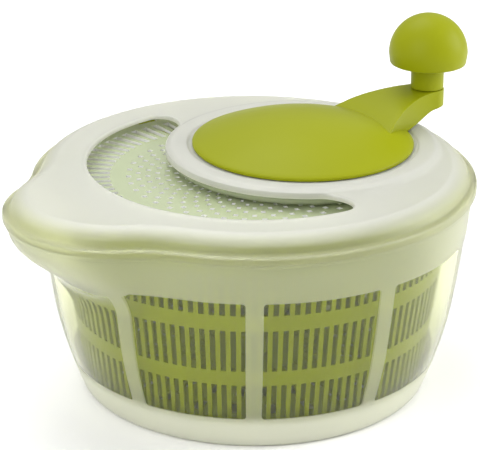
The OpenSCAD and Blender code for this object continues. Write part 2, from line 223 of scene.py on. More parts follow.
def piece(
    name: str, surfaces: list[Surface], material: bpy.types.Material, crease: float = 38.0
) -> bpy.types.Object:
    """Writes closed surfaces into one mesh object at the origin.

    Args:
        name: The piece's name.
        surfaces: Its closed surfaces, in millimetres.
        material: The material it wears.
        crease: Angle in degrees above which an edge is drawn sharp.

    Returns:
        The new object, linked to the scene.
    """
    points, faces, start = [], [], 0
    for surface in surfaces:
        kept, found = welded(surface)
        faces += [[k + start for k in face] for face in found]
        points.append(kept)
        start += len(kept)
    mesh = bpy.data.meshes.new(name)
    mesh.from_pydata((np.concatenate(points) * MM).tolist(), [], faces)
    mesh.shade_smooth()
    mesh.set_sharp_from_angle(angle=math.radians(crease))
    mesh.materials.append(material)
    made = bpy.data.objects.new(name, mesh)
    bpy.context.scene.collection.objects.link(made)
    LOG.info("%s: %d points, %d faces", name, start, len(faces))
    return made


def settle(made: bpy.types.Object, body: str, slot: str, *nodes: str) -> None:
    """Rides a piece on its body and stands it for its CAD nodes.

    Args:
        made: The piece.
        body: The body it moves with.
        slot: Not used.
        *nodes: The CAD nodes that it takes the place of.
    """
    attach(made, body)
    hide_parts(*nodes)


def smooth(low: float, high: float, value: np.ndarray) -> np.ndarray:
    """Eases from 0 at low to 1 at high, with flat ends."""
    t = np.clip((value - low) / (high - low), 0, 1)
    return t * t * (3 - 2 * t)


# --------------------------------------------------------------- materials


def linear(colour: str) -> tuple[float, float, float, float]:
    """Turns an sRGB colour into linear light.

    Args:
        colour: Hex colour such as #a0b020.

    Returns:
        Red, green, blue and an alpha of 1.
    """
    parts = [int(colour[k : k + 2], 16) / 255 for k in (1, 3, 5)]
    red, green, blue = (p / 12.92 if p <= 0.04045 else ((p + 0.055) / 1.055) ** 2.4 for p in parts)
    return red, green, blue, 1.0


def add_node(
    tree: bpy.types.NodeTree, kind: str, inputs: dict | None = None, **settings: object
) -> bpy.types.Node:
    """Adds a node, sets its own settings, and fills or links its sockets.

    Args:
        tree: The node tree.
        kind: The node's type name.
        inputs: Value, or output socket to link, for each socket's name or number.
        **settings: The node's own attributes.

    Returns:
        The new node.
    """
    node = tree.nodes.new(kind)
    for key, value in settings.items():
        setattr(node, key, value)
    for key, value in (inputs or {}).items():
        if isinstance(value, bpy.types.NodeSocket):
            tree.links.new(value, node.inputs[key])
        else:
            node.inputs[key].default_value = value
    return node


def per_mm(size: float) -> float:
    """The scale that makes a texture's features about size millimetres wide."""
    return 1 / (size * MM)


@dataclass(frozen=True)
class Finish:
    """A surface finish.

    Attributes:
        name: What the material is and how its surface was made.
        colour: sRGB hex colour.
        shade: Second sRGB hex colour, for slow variation.
        roughness: Mean roughness.
        spread: How far the roughness varies.
        grain: Width in millimetres of the surface's grain.
        depth: Height in millimetres of the grain.
        cloud: Width in millimetres of the slow colour variation.
        metallic: 1 for a metal.
        ior: Index of refraction.
        gloss: Strength of the skin's reflection, 0.5 for the plain index.
        transmission: How much light passes through.
    """

    name: str
    colour: str
    shade: str
    roughness: float
    spread: float
    grain: float
    depth: float
    cloud: float = 40.0
    metallic: float = 0.0
    ior: float = 1.5
    gloss: float = 0.5
    transmission: float = 0.0

    def material(self) -> bpy.types.Material:
        """Builds the material: clouded colour, uneven roughness and a fine grain.

        Returns:
            The new material.
        """
        made = bpy.data.materials.new(self.name)
        made.use_nodes = True
        tree = made.node_tree
        tree.nodes.clear()
        place = add_node(tree, "ShaderNodeTexCoord").outputs["Object"]
        self.dress(tree, place)
        return made

    def dress(self, tree: bpy.types.NodeTree, place: bpy.types.NodeSocket) -> bpy.types.Node:
        """Adds the finish's nodes and returns its shader.

        Args:
            tree: The material's node tree.
            place: Object coordinates.

        Returns:
            The Principled node, linked to the output.
        """
        cloud = add_node(
            tree,
            "ShaderNodeTexNoise",
            {"Vector": place, "Scale": per_mm(self.cloud), "Detail": 3.0},
        )
        colour = add_node(
            tree,
            "ShaderNodeMix",
            {0: cloud.outputs["Fac"], 6: linear(self.colour), 7: linear(self.shade)},
            data_type="RGBA",
        )
        grain = add_node(
            tree,
            "ShaderNodeTexNoise",
            {"Vector": place, "Scale": per_mm(self.grain), "Detail": 2.0},
        )
        rough = add_node(
            tree,
            "ShaderNodeMapRange",
            {
                "Value": grain.outputs["Fac"],
                "To Min": self.roughness - self.spread,
                "To Max": self.roughness + self.spread,
            },
        )
        bump = add_node(
            tree,
            "ShaderNodeBump",
            {"Height": grain.outputs["Fac"], "Distance": self.depth * MM, "Strength": 1.0},
        )
        shader = add_node(
            tree,
            "ShaderNodeBsdfPrincipled",
            {
                "Base Color": colour.outputs[2],
                "Roughness": rough.outputs["Result"],
                "Normal": bump.outputs["Normal"],
                "Metallic": self.metallic,
                "IOR": self.ior,
                "Specular IOR Level": self.gloss,
                "Transmission Weight": self.transmission,
            },
        )
        out = add_node(tree, "ShaderNodeOutputMaterial")
        tree.links.new(shader.outputs["BSDF"], out.inputs["Surface"])
        return shader


@dataclass(frozen=True)
class Windows:
    """The polished windows of the bowl, as a rounded rectangle on the unrolled wall.

    Attributes:
        count: Windows round the bowl.
        half_angle: Half of a window's width, in degrees.
        middle: Height of the windows' middle, in millimetres.
        half_height: Half of a window's height, in millimetres.
        corner: Corner radius, in millimetres.
        radius: Radius at which the wall is unrolled, in millimetres.
        foot: The wall's radius carried down to the base, in millimetres.
        slope: How much the wall's radius grows for each millimetre of height.
        lift: How far the spout may stand off the wall before it is frosted again.
    """

    count: int = 10
    half_angle: float = 15.7
    middle: float = 60.5
    half_height: float = 39.0
    corner: float = 2.0
    radius: float = 121.0
    foot: float = 114.8
    slope: float = 0.13
    lift: float = 6.0

    def mask(self, tree: bpy.types.NodeTree, place: bpy.types.NodeSocket) -> bpy.types.NodeSocket:
        """A value that is 1 inside a window and 0 on the frosted wall.

        Args:
            tree: The material's node tree.
            place: Object coordinates, in metres.

        Returns:
            The socket with the value.
        """

        def math_node(operation: str, *values: object) -> bpy.types.NodeSocket:
            """One Math node over the given values.

            Args:
                operation: What the node does.
                *values: A number or a socket for each input.

            Returns:
                The socket with its result.
            """
            return add_node(
                tree, "ShaderNodeMath", dict(enumerate(values)), operation=operation
            ).outputs[0]

        split = add_node(tree, "ShaderNodeSeparateXYZ", {0: place}).outputs
        pitch = TURN / self.count
        turns = math_node("DIVIDE", math_node("ARCTAN2", split["Y"], split["X"]), pitch)
        off = math_node("SUBTRACT", turns, math_node("ROUND", turns))
        arc = math_node("MULTIPLY", math_node("ABSOLUTE", off), pitch * self.radius)
        wide = math.radians(self.half_angle) * self.radius - self.corner
        side = math_node("SUBTRACT", arc, wide)
        height = math_node("MULTIPLY", split["Z"], 1 / MM)
        rise = math_node("ABSOLUTE", math_node("SUBTRACT", height, self.middle))
        end = math_node("SUBTRACT", rise, self.half_height - self.corner)
        over = (math_node("MAXIMUM", side, 0.0), math_node("MAXIMUM", end, 0.0))
        squares = [math_node("MULTIPLY", v, v) for v in over]
        outside = math_node("SQRT", math_node("ADD", *squares))
        inside = math_node("MINIMUM", math_node("MAXIMUM", side, end), 0.0)
        distance = math_node("SUBTRACT", math_node("ADD", outside, inside), self.corner)
        edge = add_node(
            tree,
            "ShaderNodeMapRange",
            {"Value": distance, "From Min": -0.25, "From Max": 0.25, "To Min": 1.0, "To Max": 0.0},
            interpolation_type="SMOOTHSTEP",
        ).outputs["Result"]
        flat = add_node(tree, "ShaderNodeCombineXYZ", {"X": split["X"], "Y": split["Y"]})
        reach = add_node(
            tree, "ShaderNodeVectorMath", {0: flat.outputs[0]}, operation="LENGTH"
        ).outputs["Value"]
        wall = math_node("MULTIPLY_ADD", height, self.slope, self.foot + self.lift)
        near = math_node("LESS_THAN", math_node("MULTIPLY", reach, 1 / MM), wall)
        return math_node("MULTIPLY", edge, near)


@dataclass(frozen=True)
class FrostedFinish(Finish):
    """Frosted polypropylene with a painted glow, and polished windows where windows are given.

    Attributes:
        heights: Two heights in millimetres between which the plastic clears or clouds.
        passes: How much light it passes at each of these heights.
        painted_glow: sRGB hex colour of a painted glow, the basket's light seen through the
            plastic.
        tinted: How much of the painted glow there is at each of these heights.
        windows: The polished windows, or None where the whole piece is frosted.
        clear_roughness: Roughness of the polished windows.
        clear_transmission: How much light a polished window passes.
    """

    heights: tuple[float, float] = (0.0, 1.0)
    passes: tuple[float, float] = (0.8, 0.8)
    painted_glow: str = "#f2f4cc"
    tinted: tuple[float, float] = (0.0, 1.0)
    windows: Windows | None = None
    clear_roughness: float = 0.04
    clear_transmission: float = 1.0

    def dress(self, tree: bpy.types.NodeTree, place: bpy.types.NodeSocket) -> bpy.types.Node:
        """Adds the finish and its painted glow, then clears it inside the windows.

        Args:
            tree: The material's node tree.
            place: Object coordinates.

        Returns:
            The Principled node.
        """
        shader = super().dress(tree, place)
        split = add_node(tree, "ShaderNodeSeparateXYZ", {0: place})

        def ramp(ends: tuple[float, float]) -> bpy.types.NodeSocket:
            """A value that runs between its two ends over the finish's heights.

            Args:
                ends: The value at the lower and at the upper height.

            Returns:
                The socket with the value.
            """
            ranges = {"From Min": self.heights[0] * MM, "From Max": self.heights[1] * MM}
            ranges |= {"Value": split.outputs["Z"], "To Min": ends[0], "To Max": ends[1]}
            return add_node(tree, "ShaderNodeMapRange", ranges).outputs["Result"]

        tree.links.new(ramp(self.passes), shader.inputs["Transmission Weight"])
        # Painted glow: the basket's green light seen through the plastic, mixed into the colour
        face = shader.inputs["Base Color"].links[0].from_socket
        colours = {0: ramp(self.tinted), 6: face, 7: linear(self.painted_glow)}
        colour = add_node(tree, "ShaderNodeMix", colours, data_type="RGBA").outputs[2]
        tree.links.new(colour, shader.inputs["Base Color"])
        if self.windows is None:
            return shader
        clear = self.windows.mask(tree, place)
        for socket, value in (
            ("Roughness", self.clear_roughness),
            ("Transmission Weight", self.clear_transmission),
        ):
            target = shader.inputs[socket]
            frosted = target.links[0].from_socket if target.is_linked else target.default_value
            blend = add_node(tree, "ShaderNodeMix", {0: clear, 2: frosted, 3: value})
            tree.links.new(blend.outputs[0], target)
        return shader


@dataclass(frozen=True)
class EdgeHighlightFinish(Finish):
    """Clear plastic whose cut edges carry a painted highlight, paler than its faces.

    Attributes:
        edge: sRGB hex colour of the highlight painted on the edges.
        edge_passes: How much light an edge passes.
        steep: Vertical part of the normal below which a face counts as an edge.
    """

    edge: str = "#ffffff"
    edge_passes: float = 0.1
    steep: float = 0.6

    def dress(self, tree: bpy.types.NodeTree, place: bpy.types.NodeSocket) -> bpy.types.Node:
        """Adds the finish, then paints a highlight on the upright faces.

        Args:
            tree: The material's node tree.
            place: Object coordinates.

        Returns:
            The Principled node.
        """
        shader = super().dress(tree, place)
        normal = add_node(tree, "ShaderNodeTexCoord").outputs["Normal"]
        rise = add_node(tree, "ShaderNodeSeparateXYZ", {0: normal}).outputs["Z"]
        size = add_node(tree, "ShaderNodeMath", {0: rise}, operation="ABSOLUTE").outputs[0]
        upright = add_node(
            tree, "ShaderNodeMath", {0: size, 1: self.steep}, operation="LESS_THAN"
        ).outputs[0]
        # Painted highlight: the upright faces get the edge colour and pass less light
        face = shader.inputs["Base Color"].links[0].from_socket
        colour = add_node(
            tree,
            "ShaderNodeMix",
            {0: upright, 6: face, 7: linear(self.edge)},
            data_type="RGBA",
        )
        tree.links.new(colour.outputs[2], shader.inputs["Base Color"])
        passes = add_node(
            tree, "ShaderNodeMix", {0: upright, 2: self.transmission, 3: self.edge_passes}
        )
        tree.links.new(passes.outputs[0], shader.inputs["Transmission Weight"])
        return shader


# Lid, polypropylene from an etched mould: a satin face that blurs and pales what is behind
# it. The etched grain is under 0.1 mm and wouldn't show, so it is drawn 0.5 mm wide.
# Painted glow: the flange and lower shoulder are washed green, the basket's light seen through.
FROSTED_LID = FrostedFinish(
    "frosted_polypropylene_lid", "#f0f0e9", "#ebece2", 0.40, 0.03, 0.5, 0.006,
    ior=1.4, heights=(132.0, 138.0), passes=(0.88, 0.56),
    painted_glow="#f0f2cc", tinted=(1.0, 0.0),
)
# Bowl, the same plastic and grain: milky, with clear panels that the mould left polished.
# Painted glow: above its foot the wall is washed green, the basket's light seen through.
FROSTED_BOWL = FrostedFinish(
    "frosted_polypropylene_bowl", "#f5f6e3", "#f1f3da", 0.34, 0.03, 0.5, 0.006,
    ior=1.36, heights=(16.0, 24.0), passes=(0.42, 0.84),
    painted_glow="#f3f5d8", windows=Windows(),
)
# Basket, moulded lime polypropylene: a light gloss, and a glow where light comes through.
LIME_BASKET = Finish(
    "lime_polypropylene_basket", "#b2bb10", "#aab30a", 0.34, 0.04, 1.2, 0.01,
    ior=1.46, gloss=0.3, transmission=0.25,
)
# Crank and knob, lime ABS from a fine spark-eroded mould: an even, soft satin with broad
# highlights. The spark grain is about 0.1 mm, drawn 0.45 mm wide so that it shows.
LIME_CRANK = Finish(
    "lime_abs_satin_moulded", "#91970f", "#8b910b", 0.42, 0.04, 0.45, 0.012, gloss=0.12,
)
# Drive plate, moulded clear styrene: a breath of green, with a painted highlight on its cut edges.
TINTED_PLATE = EdgeHighlightFinish(
    "tinted_styrene_plate", "#ced8b2", "#c6d1a8", 0.18, 0.04, 2.5, 0.008, transmission=0.3,
)
# Gear pan, the same styrene from a polished mould: glassy, with sharp reflections.
TINTED_CLEAR = Finish(
    "tinted_styrene_polished", "#dde4c6", "#d4ddba", 0.08, 0.03, 2.5, 0.008,
    ior=1.56, transmission=0.6,
)
# Gears and thrust washer, moulded acetal: an opaque warm white with a waxy sheen.
ACETAL = Finish("acetal_moulded", "#eceae4", "#e4e2da", 0.38, 0.05, 0.8, 0.006, ior=1.48)
# Screws, pins and washers, bright turned steel: a cool grey with blurred reflections. The
# turning marks are under 0.1 mm, drawn 0.35 mm wide so that they show.
STEEL = Finish("steel_turned_bright", "#c9cbce", "#b9bcc0", 0.28, 0.08, 0.35, 0.004, metallic=1.0)
# Pinion's bush, sintered bronze: a dull brown metal. Its pores are under 0.1 mm and are
# drawn 0.4 mm wide so that they show.
BRONZE = Finish("bronze_sintered", "#b08a55", "#8f6c3c", 0.5, 0.1, 0.4, 0.012, metallic=1.0)


# ------------------------------------------------------------------ shapes


@dataclass(frozen=True)
class Spout:
    """Plan of the pouring spout: a nose arc, two hollow fillets and the round rim.

    Attributes:
        rim: Radius of the round rim.
        reach: Distance from the axis to the tip.
        nose: Radius of the nose.
        fillet: Radius of the hollow fillets.
    """

    rim: float = 132.5
    reach: float = 162.5
    nose: float = 68.0
    fillet: float = 72.0

    def ends(self) -> tuple[float, float, float]:
        """Where a fillet touches the rim and the nose.

        Both come from the triangle between the axis, the nose's centre and the fillet's.

        Returns:
            The angles from the spout's middle where the fillet meets the rim and where it
            meets the nose, and the distance of the fillet's centre.
        """
        away, ahead = self.rim + self.fillet, self.reach - self.nose
        cosine = (away**2 + ahead**2 - (self.nose + self.fillet) ** 2) / (2 * away * ahead)
        fillet = math.acos(cosine)
        share = self.nose / (self.nose + self.fillet)
        x = ahead + (away * math.cos(fillet) - ahead) * share
        return fillet, math.atan2(away * math.sin(fillet) * share, x), away

    def outline(self, angle: np.ndarray, inset: float | np.ndarray) -> np.ndarray:
        """Radius of the outline, set in by inset, at angles about the axis.

        On the nose it is the far crossing of the ray with the nose's circle, on a fillet
        the near crossing with the fillet's circle, and elsewhere the rim's radius.

        Args:
            angle: Angles from +X, in radians.
            inset: How far the outline is set in.

        Returns:
            The radius at each angle.
        """
        fillet, touch, away = self.ends()
        ahead = self.reach - self.nose
        a = np.abs((angle % TURN) - math.pi)
        a, inset = np.broadcast_arrays(a, inset)
        b = fillet - a
        far = (self.nose - inset) ** 2 - (ahead * np.sin(a)) ** 2
        near = (self.fillet + inset) ** 2 - (away * np.sin(b)) ** 2
        nose = ahead * np.cos(a) + np.sqrt(np.maximum(far, 0))
        hollow = away * np.cos(b) - np.sqrt(np.maximum(near, 0))
        return np.where(a < touch, nose, np.where(a < fillet, hollow, self.rim - inset))


@dataclass(frozen=True)
class CrankSeat:
    """Where the crank stands and how it rests.

    Attributes:
        x: Distance of the crank's axis from the bowl's.
        arm: Distance of the knob's pin from the crank's axis.
        rest: Angle of the arm at rest, in radians.
    """

    x: float = 36.5
    arm: float = 91.0
    rest: float = math.radians(-5)


@dataclass
class Bowl:
    """The frosted bowl with its spout, its windows and the pivot in its floor.

    Attributes:
        spout: The spout's plan, which the rim follows.
        height: Height of the rim.
        foot_radius: The straight wall's outer radius carried down to the base.
        top_radius: Its outer radius at the rim.
        belly: How far the wall swells at mid height.
        corner: How far it is drawn in at the base.
        corner_height: Height at which the drawing in starts.
        corner_power: Power by which it grows towards the base.
        fillet: Radius of the base's rounded edge.
        wall: Thickness of the wall.
        bead: Outer radius of the rim's bead.
        band: Height of the band under the rim that has the whole spout.
        run: Height over which the spout runs out under that band.
        columns: Profiles round the axis.
    """

    spout: Spout
    height: float = 124.5
    foot_radius: float = 110.9
    top_radius: float = 130.3
    belly: float = 2.0
    corner: float = 6.3
    corner_height: float = 58.0
    corner_power: float = 1.63
    fillet: float = 3.0
    wall: float = 2.2
    bead: float = 131.3
    band: float = 5.0
    run: float = 40.0
    columns: int = 480

    def wall_radius(self, z: np.ndarray) -> np.ndarray:
        """The straight wall's radius, swollen at mid height and drawn in near the base.

        The swelling is a parabola that is nothing at both ends, and the drawing in is a
        power of the share of the corner's height that is still above z.

        Args:
            z: Height.

        Returns:
            The outer radius at that height.
        """
        share = z / self.height
        line = self.foot_radius + (self.top_radius - self.foot_radius) * share
        swell = 4 * self.belly * share * (1 - share)
        draw = np.maximum(0, 1 - z / self.corner_height) ** self.corner_power
        return line + swell - self.corner * draw

    def outer_radius(self, z: float) -> float:
        """The wall's radius with the base's edge rounded as a quarter circle.

        Args:
            z: Height.

        Returns:
            The radius of the finished outside.
        """
        left = np.clip(1 - z / self.fillet, 0, 1)
        cut = self.fillet * (1 - math.sqrt(1 - left**2))
        return float(self.wall_radius(np.float64(z))) - cut

    def spout_share(self, z: np.ndarray) -> np.ndarray:
        """1 in the spout's band, easing down a half cosine to 0 at the end of its run."""
        drop = np.clip((self.height - self.band - z) / self.run, 0, 1)
        return (1 + np.cos(math.pi * drop)) / 2

    def rows(self) -> tuple[np.ndarray, np.ndarray, np.ndarray, np.ndarray]:
        """The bowl's profile, up the outside and down the inside to the pivot's top.

        Returns:
            The radius of each row, its height, the wall's thickness where the row is on the
            inside, and the height at which the row takes its share of the spout.
        """
        foot = [(0, 0), (60, 0), (82.6, 0), (83, 0.8), (90, 0.8), (90.4, 0), (98, 0)]
        low = [0, 0.12, 0.45, 1.0, 1.8, 3, 4.5, 6, 8, 10, 12.5, 15, 18, 21, 24, 27, 30]
        high = [*np.arange(36, 79, 6.5), *np.arange(80, 121.5, 2.3)]
        outer = foot + [(self.outer_radius(z), z) for z in low + high]
        lip = [(130.3, 121.4), (131.0, 121.7), (131.3, 122.3), (131.3, 124.0), (131.0, 124.5)]
        outer += lip
        inner = [(128.3, 124.5), (128.1, 124.2)]
        inner += [
            (float(self.wall_radius(np.float64(z))) - self.wall, z)
            for z in reversed([7, 8.5, *low[9:], *high])
        ]
        inner += [(104.2, 5.4), (102.6, 4.2), (99.6, 3.6), (60, 3.6), (12.6, 3.6), (11.4, 4.0)]
        inner += [(6.6, 8.8), (5.0, 9.6), (4.0, 10.4), (4.0, 21.3), (3.3, 22), (0, 22)]
        shape = np.array(outer + inner, float)
        wall = np.array([0.0] * len(outer) + [self.wall] * len(inner))
        return shape[:, 0], shape[:, 1], wall, shape[:, 1] - wall

    def surface(self) -> Surface:
        """The bowl: each row's radius grows by the spout's reach past the rim times its share.

        Returns:
            The closed surface.
        """
        radius, z, wall, level = self.rows()
        turn = np.arange(self.columns)[:, None] * TURN / self.columns
        inset = self.spout.rim - self.bead + wall
        extra = self.spout.outline(turn, inset[None, :]) - self.spout.rim + inset
        reach = radius + self.spout_share(level) * extra
        return loft(polar(reach, turn, z), Loop.POLES)

    def build(self) -> None:
        """Makes the bowl."""
        made = piece("bowl_shell", [self.surface()], FROSTED_BOWL.material())
        settle(made, "bowl", "frosted_plastic", "bowl")


@dataclass
class Lid:
    """The frosted lid: flange, shoulder, flat top, collar and crescent opening.

    Attributes:
        spout: The spout's plan, which the flange follows.
        seat: Where the crank stands.
        deck: Height of the flat top.
        under: Height of its underside.
        crescent: Radius of the opening's outer edge about the bowl's axis.
        collar: Radius of the collar about the crank's axis.
        lip: Width of the flat lip between the collar and the opening.
        tip: Angle at which the opening's ends stand.
        blunt: Angle over which its ends are rounded.
        screws: Distance of the screw bosses from the crank's axis.
    """

    spout: Spout
    seat: CrankSeat
    deck: float = 138.4
    under: float = 136.2
    crescent: float = 99.5
    collar: float = 82.6
    lip: float = 0.8
    tip: float = math.radians(88.7)
    blunt: float = math.radians(6.2)
    screws: float = 74.0

    # (inset, height) of the outer face and of the inner face, from the flat top outwards
    shoulder = (
        (17.0, 138.4, 17.0, 136.2), (15.7, 138.5, 16.0, 136.2), (14.7, 138.5, 15.0, 136.2),
        (13.6, 138.2, 14.0, 136.1), (11.4, 137.4, 12.0, 135.5), (9.2, 136.4, 10.4, 134.7),
        (7.4, 135.2, 9.1, 133.8), (6.1, 133.8, 8.1, 132.7), (5.2, 132.2, 7.3, 131.2),
        (4.6, 130.8, 6.7, 129.3), (4.1, 129.9, 6.1, 128.0), (3.4, 129.5, 5.2, 127.4),
        (2.2, 129.4, 3.8, 127.25), (1.0, 129.3, 2.9, 127.15), (0.3, 128.9, 2.4, 126.9),
        (0.0, 128.2, 2.2, 126.4), (0.0, 124.9, 2.2, 124.9), (0.25, 124.5, 2.0, 124.5),
    )
    # (distance from the crank's axis, outer height, inner height) across the collar
    ring = (
        (61.5, 139.7, 138.6), (61.8, 140.0, 138.45), (65.0, 140.0, 138.45),
        (68.6, 140.0, 138.45), (69.2, 140.1, 138.45), (69.7, 140.6, 138.45),
        (70.1, 141.1, 138.45), (70.8, 141.35, 138.45), (73.0, 141.4, 138.45),
        (76.0, 141.4, 138.45), (78.4, 141.35, 138.45), (79.7, 141.1, 138.45),
        (80.7, 140.6, 138.4), (81.7, 140.0, 136.4), (82.6, 139.5, 136.2),
    )
    ring_tail = ((82.6, 139.5), (83.3, 139.05), (84.0, 138.7), (85.2, 138.4))

    def angles(self) -> np.ndarray:
        """Column angles: an even round, with more columns where the opening's ends turn.

        Returns:
            The angles from 0 to a whole turn, none closer than 0.02 degrees.
        """
        even = np.arange(0, TURN - 1e-9, math.radians(0.75))
        turn = np.linspace(0, math.pi / 2, 22)
        near = self.tip + self.blunt * (1 - np.cos(turn))
        before = self.tip - np.radians([0.3, 0.7, 1.2])
        extra = np.concatenate([near, before])
        every = np.unique(np.round(np.concatenate([even, extra, TURN - extra]), 7))
        keep = np.concatenate([[True], np.diff(every) > math.radians(0.02)])
        return every[keep]

    def opening(self, theta: np.ndarray) -> tuple[np.ndarray, np.ndarray, np.ndarray]:
        """The collar's radius and the opening's inner and outer radius at each angle.

        The opening's half width eases from nothing at its tip as a quarter circle.

        Args:
            theta: Angles about the bowl's axis.

        Returns:
            The three radii at each angle.
        """
        x = self.seat.x
        root = x * np.cos(theta) + np.sqrt(self.collar**2 - (x * np.sin(theta)) ** 2)
        fold = np.minimum(theta, TURN - theta)
        u = np.clip((fold - self.tip) / self.blunt, 0, 1)
        share = np.sqrt(1 - (1 - u) ** 2)
        middle = (self.crescent + root + self.lip) / 2
        half = (self.crescent - root - self.lip) / 2 * share
        return root, middle - half, middle + half

    def rim_lift(self, xy: np.ndarray, edge: np.ndarray) -> np.ndarray:
        """Height that the opening's rounded rim adds on top: a bead that falls at the edge.

        Args:
            xy: Points of the lid, in plan.
            edge: Points of the opening's edge, in plan.

        Returns:
            The outer face's lift.
        """
        flat = xy.reshape(-1, 2)
        gap = np.empty(len(flat))
        for part in np.array_split(np.arange(len(flat)), 24):
            away = flat[part, None, :] - edge[None]
            gap[part] = np.sqrt((away**2).sum(axis=-1).min(axis=1))
        gap = gap.reshape(xy.shape[:2])
        bead = 0.45 * np.exp(-(((gap - 1.3) / 1.0) ** 2))
        fall = 1.1 * (1 - np.clip(gap / 0.6, 0, 1)) ** 2
        return bead - fall

    def surface(self) -> Surface:
        """The lid's wall as one sheet, open between the two rows that bound the crescent.

        Rows run from the collar's inner edge, round the crank's axis, to the flange, round
        the bowl's. Where the collar passes over the shoulder, on the crank's side, rows that
        would cross it are held just outside it, one small step after the other.

        Returns:
            The closed surface.
        """
        theta = self.angles()
        root, low, high = self.opening(theta)
        ray = np.stack([np.cos(theta), np.sin(theta)], axis=-1)
        centre = np.array([self.seat.x, 0.0])
        away = root[:, None] * ray - centre
        away /= np.linalg.norm(away, axis=1)[:, None]
        ring = np.array(self.ring)
        inner_xy = centre + ring[None, :, :1] * away[:, None, :]

        shoulder = np.array(self.shoulder)
        start = self.spout.outline(theta, shoulder[0, 0])
        steps = [root + (low - root) * t for t in (0.3, 0.6, 0.85)] + [low, high]
        steps += [high + d for d in (0.3, 0.8, 1.5, 2.4, 3.5)]
        steps += [high + 3.5 + (start - high - 3.5) * t for t in (0.2, 0.4, 0.6, 0.8)]
        count = len(steps)
        plan = np.stack(steps, axis=1)
        top_r, low_r = (
            np.concatenate([plan, self.spout.outline(theta[:, None], inset[None, :])], axis=1)
            for inset in (shoulder[:, 0], shoulder[:, 2])
        )
        crowd = slice(0, count + 8)
        ladder = 0.12 * np.arange(count + 8)
        ladder[4:] -= 0.12  # the opening's two edge rows meet outside it
        for r in (top_r, low_r):
            clear = np.maximum(r[:, crowd], root[:, None] + 0.1) - ladder
            r[:, crowd] = np.maximum.accumulate(clear, axis=1) + ladder
        top_z = np.full(top_r.shape, self.deck)
        low_z = np.full(low_r.shape, self.under)
        top_z[:, count:] = shoulder[:, 1]
        low_z[:, count:] = shoulder[:, 3]
        rise = shoulder[::-1]
        round_top = np.interp(self.spout.rim - top_r, rise[:, 0], rise[:, 1])
        round_low = np.interp(self.spout.rim - low_r, rise[:, 2], rise[:, 3])
        crank_side = (np.cos(theta) > 0.3)[:, None]
        top_z[:, crowd] = np.where(crank_side, round_top, top_z)[:, crowd]
        low_z[:, crowd] = np.where(crank_side, round_low, low_z)[:, crowd]
        tail = np.array(self.ring_tail)
        outer_xy = top_r[..., None] * ray[:, None, :]
        rho = np.linalg.norm(outer_xy - centre, axis=-1)
        slope = np.interp(rho, tail[:, 0], tail[:, 1], right=0.0)
        top_z[:, crowd] = np.maximum(top_z, slope)[:, crowd]

        edge_rows = np.concatenate([low[:, None] * ray, high[:, None] * ray])
        open_now = np.concatenate([high > low + 1e-6] * 2)
        tips = np.array([[math.cos(s * self.tip), math.sin(s * self.tip)] for s in (1, -1)])
        tips *= np.interp(self.tip, theta, (low + high) / 2)
        edge = np.concatenate([edge_rows[open_now], tips])
        top_z[:, :count] += self.rim_lift(outer_xy[:, :count], edge)

        def grid(xy: np.ndarray, z: np.ndarray) -> np.ndarray:
            """Plan points and heights put together."""
            return np.concatenate([xy, z[..., None]], axis=-1)

        ones = np.ones(len(theta))[:, None]
        top = np.concatenate([grid(inner_xy, ones * ring[:, 1]), grid(outer_xy, top_z)], axis=1)
        low_xy = low_r[..., None] * ray[:, None, :]
        below = np.concatenate([grid(inner_xy, ones * ring[:, 2]), grid(low_xy, low_z)], axis=1)
        holes = np.zeros((len(theta), top.shape[1] - 1), bool)
        fold = np.minimum(theta, TURN - theta)
        within = fold >= self.tip - 1e-5
        holes[:, len(ring) + 3] = within & np.roll(within, -1)
        return sheet(top, below, holes)

    def skirt(self) -> Surface:
        """The locating ring inside the bowl's rim, tapered to nothing at the spout.

        Returns:
            The closed surface.
        """
        fillet = self.spout.ends()[0] + math.radians(3)
        angle = np.linspace(math.pi + fillet, 3 * math.pi - fillet, 260)
        size = smooth(0, math.radians(2), np.minimum(angle - angle[0], angle[-1] - angle))
        loop = np.array([
            (124.8, 127.0), (124.8, 119.5), (125.2, 119.0),
            (126.3, 119.0), (126.6, 119.5), (126.6, 127.0),
        ])
        middle = np.array([125.7, 126.6])
        shape = middle + (loop - middle) * size[:, None, None]
        return loft(polar(shape[..., 0], angle[:, None], shape[..., 1]), Loop.RING, ring=False)

    def build(self) -> None:
        """Makes the lid with its four screw bosses."""
        boss = lathe([(1.5, 133), (4.2, 133), (4.2, 138.9), (1.5, 138.9)], Loop.RING, 32)
        bosses = on_diagonals(boss, self.screws, self.seat.x)
        made = piece("lid_shell", [self.surface(), self.skirt(), *bosses], FROSTED_LID.material())
        settle(made, "lid", "frosted_plastic", "lid")


